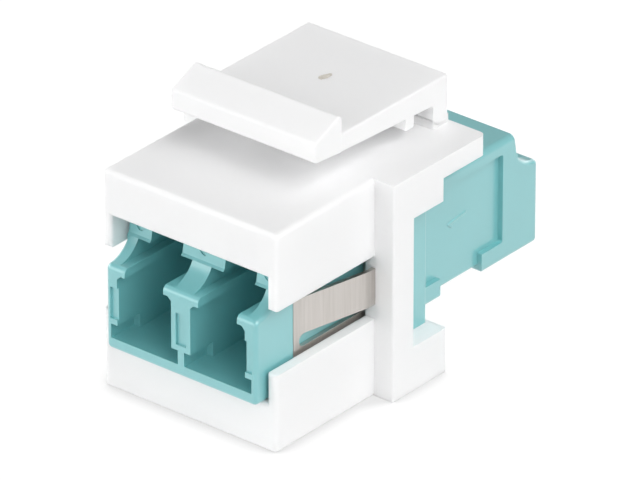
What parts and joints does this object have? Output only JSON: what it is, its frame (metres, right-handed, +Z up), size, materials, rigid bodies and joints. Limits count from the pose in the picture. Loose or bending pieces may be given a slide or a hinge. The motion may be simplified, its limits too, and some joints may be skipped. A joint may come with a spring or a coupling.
{
  "type": "lc keystone coupler",
  "caption": "Duplex LC fibre coupler: aqua adapter in a white snap-in keystone carrier with a flexing top latch.",
  "frame": {"origin": "middle of the nose's lower front edge, on the plane under the module", "axes": "+X across the module, +Y from the nose towards the rear ports, +Z up towards the latch"},
  "size_m": [0.0178, 0.0295, 0.0211],
  "materials": {
    "white_plastic": "fine satin moulding, white",
    "aqua_plastic": "satin moulding, aqua",
    "zirconia": "polished off-white ceramic",
    "stainless_sheet": "lightly brushed spring sheet"
  },
  "bodies": {
    "module": {"keystone_carrier": "white_plastic", "adapter_front_shell": "aqua_plastic", "adapter_rear_shell": "aqua_plastic", "ferrule_sleeve_left": "zirconia", "ferrule_sleeve_right": "zirconia", "retaining_clip": "stainless_sheet"},
    "latch": {"latch_arm": "white_plastic"}
  },
  "joints": [
    {"name": "latch_flex", "type": "hinge", "parent": "module", "child": "latch", "pos_m": [0, 0.01868, 0.01715], "axis": [1, 0, 0], "range_deg": [0, 8], "stiffness_Nm_per_rad": 0.4}
  ]
}
